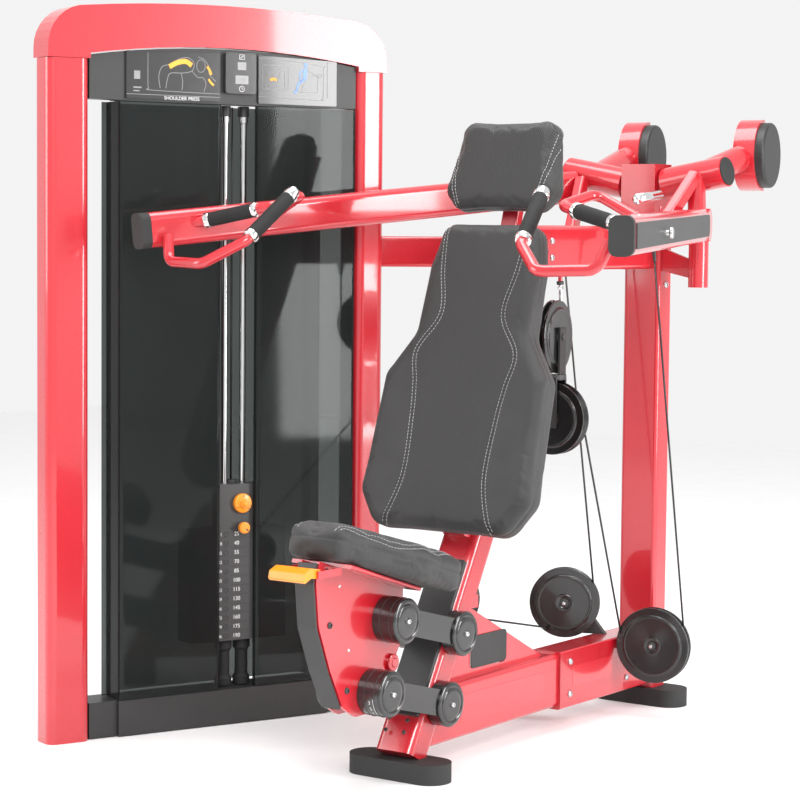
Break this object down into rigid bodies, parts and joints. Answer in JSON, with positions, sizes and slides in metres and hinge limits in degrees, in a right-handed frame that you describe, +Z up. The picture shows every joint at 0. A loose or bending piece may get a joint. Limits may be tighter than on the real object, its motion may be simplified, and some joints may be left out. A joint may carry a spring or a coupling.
{
  "type": "shoulder press machine",
  "caption": "Selectorised shoulder press: seated pad unit with converging counterweighted press arms, cable-driven through a floating pulley to a shrouded weight-stack tower.",
  "frame": {"origin": "middle of the front foot's floor face, on the exercise unit's centre plane", "axes": "+X towards the seated user's left, +Y behind the user, +Z up"},
  "size_m": [1.7714, 2.0719, 1.97],
  "materials": {
    "red_paint": "gloss",
    "smoked": "gloss",
    "black_plastic": "satin",
    "gloss_black": "gloss",
    "rubber": "matte",
    "chrome": "polished",
    "steel_black": "satin",
    "cast_plate": "matte",
    "upholstery": "matte",
    "orange": "gloss",
    "grey_metal": "satin",
    "cable": "satin"
  },
  "bodies": {
    "frame": {"back_pad": "upholstery", "base_frame": "red_paint", "cable_base": "cable", "cable_block_runs": "cable", "cable_left_drop": "cable", "cable_right_rise": "cable", "cable_stack_lift": "cable", "front_post": "red_paint", "guide_rods": "chrome", "head_pad": "upholstery", "header_panel": "black_plastic", "left_column": "red_paint", "pad_backings": "black_plastic", "placards": "gloss_black", "plinth": "black_plastic", "post_cover": "black_plastic", "pulley_bracket": "steel_black", "rear_column": "red_paint", "rear_shroud": "smoked", "rep_counter": "gloss_black", "right_column": "red_paint", "rubber_feet": "rubber", "shroud_left": "smoked", "shroud_right": "smoked", "stack_bumpers": "rubber", "top_cap": "red_paint", "top_frame": "red_paint", "weight_plates": "cast_plate"},
    "press_arm_left": {"arm_left_counterweight": "steel_black", "arm_left_end_cap": "rubber", "arm_left_frame": "red_paint", "arm_left_grips": "rubber", "arm_left_handle": "red_paint", "arm_left_hub_plug": "rubber", "arm_left_knob": "grey_metal", "arm_left_panel": "black_plastic"},
    "press_arm_right": {"arm_right_counterweight": "steel_black", "arm_right_end_cap": "rubber", "arm_right_frame": "red_paint", "arm_right_grips": "rubber", "arm_right_handle": "red_paint", "arm_right_hub_plug": "rubber", "arm_right_panel": "black_plastic"},
    "weight_carriage": {"head_plate": "steel_black", "selector_stem": "chrome"},
    "increment_dial": {"increment_dial": "orange"},
    "selector_pin": {"selector_pin": "orange"},
    "floating_block": {"floating_block": "steel_black"},
    "pulley_float_upper": {"pulley_float_upper": "gloss_black"},
    "pulley_float_lower": {"pulley_float_lower": "gloss_black"},
    "pulley_rear": {"pulley_rear": "gloss_black"},
    "pulley_far": {"pulley_far": "gloss_black"},
    "pulley_seat": {"pulley_seat": "gloss_black"},
    "seat_links_upper": {"links_upper": "gloss_black"},
    "seat_links_lower": {"links_lower": "gloss_black"},
    "seat": {"seat_carriage": "red_paint", "seat_front_strip": "black_plastic", "seat_pad": "upholstery"},
    "seat_lever": {"seat_lever": "orange"}
  },
  "joints": [
    {"name": "arm_left_press", "type": "hinge", "parent": "frame", "child": "press_arm_left", "pos_m": [0.155, 1.2, 1.526], "axis": [-0.9848, 0, -0.1736], "range_deg": [0, 48], "deforming": ["cable_left_drop"]},
    {"name": "arm_right_press", "type": "hinge", "parent": "frame", "child": "press_arm_right", "pos_m": [-0.155, 1.2, 1.526], "axis": [-0.9848, 0, 0.1736], "range_deg": [0, 48], "deforming": ["cable_right_rise"]},
    {"name": "block_drop", "type": "slide", "parent": "frame", "child": "floating_block", "axis": [0, 0, -1], "range_m": [0, 0.211], "deforming": ["cable_block_runs"]},
    {"name": "stack_lift", "type": "slide", "parent": "frame", "child": "weight_carriage", "axis": [0, 0, 1], "range_m": [0, 0.422], "deforming": ["cable_stack_lift"]},
    {"name": "pin_pull", "type": "slide", "parent": "weight_carriage", "child": "selector_pin", "axis": [0.9245, -0.3811, 0], "range_m": [0, 0.05]},
    {"name": "dial_turn", "type": "hinge", "parent": "weight_carriage", "child": "increment_dial", "pos_m": [-0.73318, 0.26301, 0.6132], "axis": [0.9245, -0.3811, 0], "range_deg": [0, 120]},
    {"name": "pulley_rear_spin", "type": "hinge", "parent": "frame", "child": "pulley_rear", "pos_m": [0.16, 1.003, 0.2117], "axis": [0.1871, -0.9823, 0], "range_deg": [-200, 200]},
    {"name": "pulley_far_spin", "type": "hinge", "parent": "frame", "child": "pulley_far", "pos_m": [-0.1, 0.9475, 0.3148], "axis": [0.423, -0.9061, 0], "range_deg": [-200, 200]},
    {"name": "pulley_seat_spin", "type": "hinge", "parent": "frame", "child": "pulley_seat", "pos_m": [-0.05, 0.37, 0.395], "axis": [0.9959, 0.09, 0], "range_deg": [-360, 360]},
    {"name": "pulley_float_upper_spin", "type": "hinge", "parent": "floating_block", "child": "pulley_float_upper", "pos_m": [0, 0.711, 1.084], "axis": [0.9866, 0.1631, 0], "range_deg": [-180, 180]},
    {"name": "pulley_float_lower_spin", "type": "hinge", "parent": "floating_block", "child": "pulley_float_lower", "pos_m": [0, 0.711, 0.862], "axis": [0.06, -0.9982, 0], "range_deg": [-180, 180]},
    {"name": "seat_link_upper", "type": "hinge", "parent": "frame", "child": "seat_links_upper", "pos_m": [0, 0.146, 0.352], "axis": [1, 0, 0], "range_deg": [-8, 22]},
    {"name": "seat_link_lower", "type": "hinge", "parent": "frame", "child": "seat_links_lower", "pos_m": [0, 0.086, 0.18], "axis": [1, 0, 0], "range_deg": [-8, 22]},
    {"name": "seat_level", "type": "hinge", "parent": "seat_links_upper", "child": "seat", "pos_m": [0, -0.111, 0.4175], "axis": [1, 0, 0], "range_deg": [-22, 8]},
    {"name": "seat_release", "type": "hinge", "parent": "seat", "child": "seat_lever", "pos_m": [0, -0.411, 0.561], "axis": [1, 0, 0], "range_deg": [-14, 0], "stiffness_Nm_per_rad": 2}
  ],
  "couplings": [
    {"joint": "arm_right_press", "follows": "arm_left_press", "ratio": 1},
    {"joint": "block_drop", "follows": "arm_left_press", "m_per_rad": 0.24948},
    {"joint": "stack_lift", "follows": "arm_left_press", "m_per_rad": 0.49895},
    {"joint": "pulley_rear_spin", "follows": "arm_left_press", "ratio": 2.8421},
    {"joint": "pulley_far_spin", "follows": "arm_left_press", "ratio": 3.0394},
    {"joint": "pulley_seat_spin", "follows": "arm_left_press", "ratio": 6.2525},
    {"joint": "pulley_float_upper_spin", "follows": "arm_left_press", "ratio": 2.9009},
    {"joint": "seat_link_lower", "follows": "seat_link_upper", "ratio": 1},
    {"joint": "seat_level", "follows": "seat_link_upper", "ratio": -1}
  ]
}
